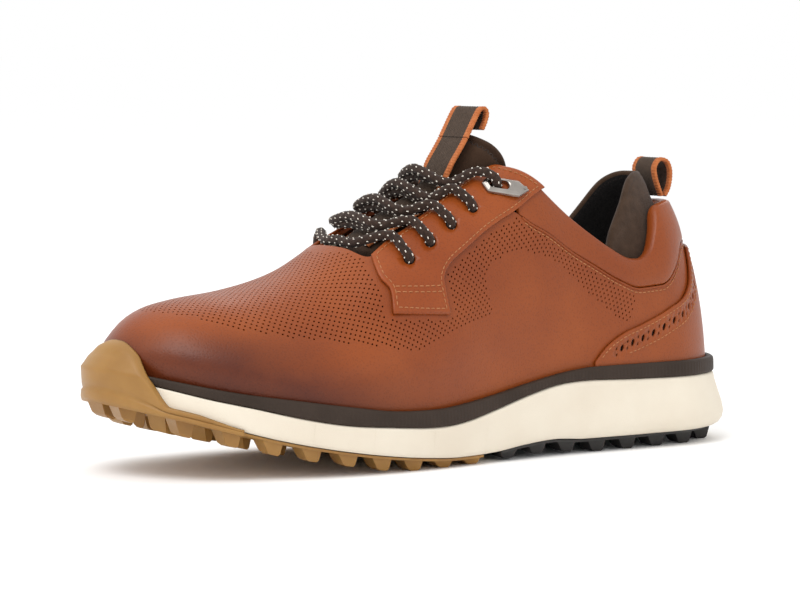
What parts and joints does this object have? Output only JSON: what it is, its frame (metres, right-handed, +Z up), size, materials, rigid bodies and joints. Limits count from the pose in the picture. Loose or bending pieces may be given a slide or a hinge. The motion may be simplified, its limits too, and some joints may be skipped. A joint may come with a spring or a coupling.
{
  "type": "golf shoe",
  "caption": "Left spikeless golf shoe with a perforated leather upper, padded tongue under crossed lacing, foam midsole and a lugged rubber outsole.",
  "frame": {"origin": "under the middle of the shoe, on the ground", "axes": "+X from the toe to the heel, +Z up, -Y the outer side of the foot"},
  "size_m": [0.3039, 0.1054, 0.1477],
  "materials": {
    "upper_leather": "satin, burnished, perforated",
    "collar_leather": "satin, padded",
    "overlay_leather": "satin, burnished edges",
    "stretch_fabric": "matte knit-faced foam",
    "lining_cloth": "matte",
    "webbing": "woven, orange edges",
    "lace_cord": "braided with pale flecks",
    "nickel": "dark nickel",
    "midsole_foam": "matte moulded foam",
    "rand_rubber": "matte, fine texture",
    "gum_rubber": "satin gum",
    "heel_rubber": "matte",
    "footbed_foam": "open foam",
    "footbed_cloth": "matte",
    "padding": "open foam",
    "stiffener": "fibre sheet",
    "board": "fibre board",
    "shank": "moulded nylon"
  },
  "bodies": {
    "shoe": {"outsole_forefoot": "gum_rubber", "outsole_heel": "heel_rubber", "midsole": "midsole_foam", "rand": "rand_rubber", "shank_plate": "shank", "strobel_board": "board", "footbed": "footbed_foam", "footbed_cover": "footbed_cloth", "toe_puff": "stiffener", "heel_counter": "stiffener", "lining": "lining_cloth", "bootie_collar": "stretch_fabric", "collar_foam": "padding", "vamp_quarter": "upper_leather", "collar_leather": "collar_leather", "heel_overlay": "overlay_leather", "eyestay_lateral": "overlay_leather", "eyestay_medial": "overlay_leather", "eyestay_backer_lateral": "stiffener", "eyestay_backer_medial": "stiffener", "lace_loop_lateral": "nickel", "lace_loop_medial": "nickel", "tongue_binding": "stretch_fabric", "lace": "lace_cord"},
    "tongue": {"tongue": "stretch_fabric", "tongue_strap": "webbing"},
    "tongue_pull": {"tongue_pull": "webbing"},
    "heel_pull": {"heel_pull": "webbing"}
  },
  "joints": [
    {"name": "tongue_swing", "type": "hinge", "parent": "shoe", "child": "tongue", "pos_m": [-0.052, 0, 0.0706], "axis": [0, 1, 0], "range_deg": [0, 12], "stiffness_Nm_per_rad": 0.3},
    {"name": "tongue_pull_flop", "type": "hinge", "parent": "tongue", "child": "tongue_pull", "pos_m": [0.0174, 0, 0.1341], "axis": [0, 1, 0], "range_deg": [-50, 10], "stiffness_Nm_per_rad": 0.004},
    {"name": "heel_pull_flop", "type": "hinge", "parent": "shoe", "child": "heel_pull", "pos_m": [0.1302, 0, 0.1071], "axis": [0, 1, 0], "range_deg": [-4, 60], "stiffness_Nm_per_rad": 0.004}
  ]
}
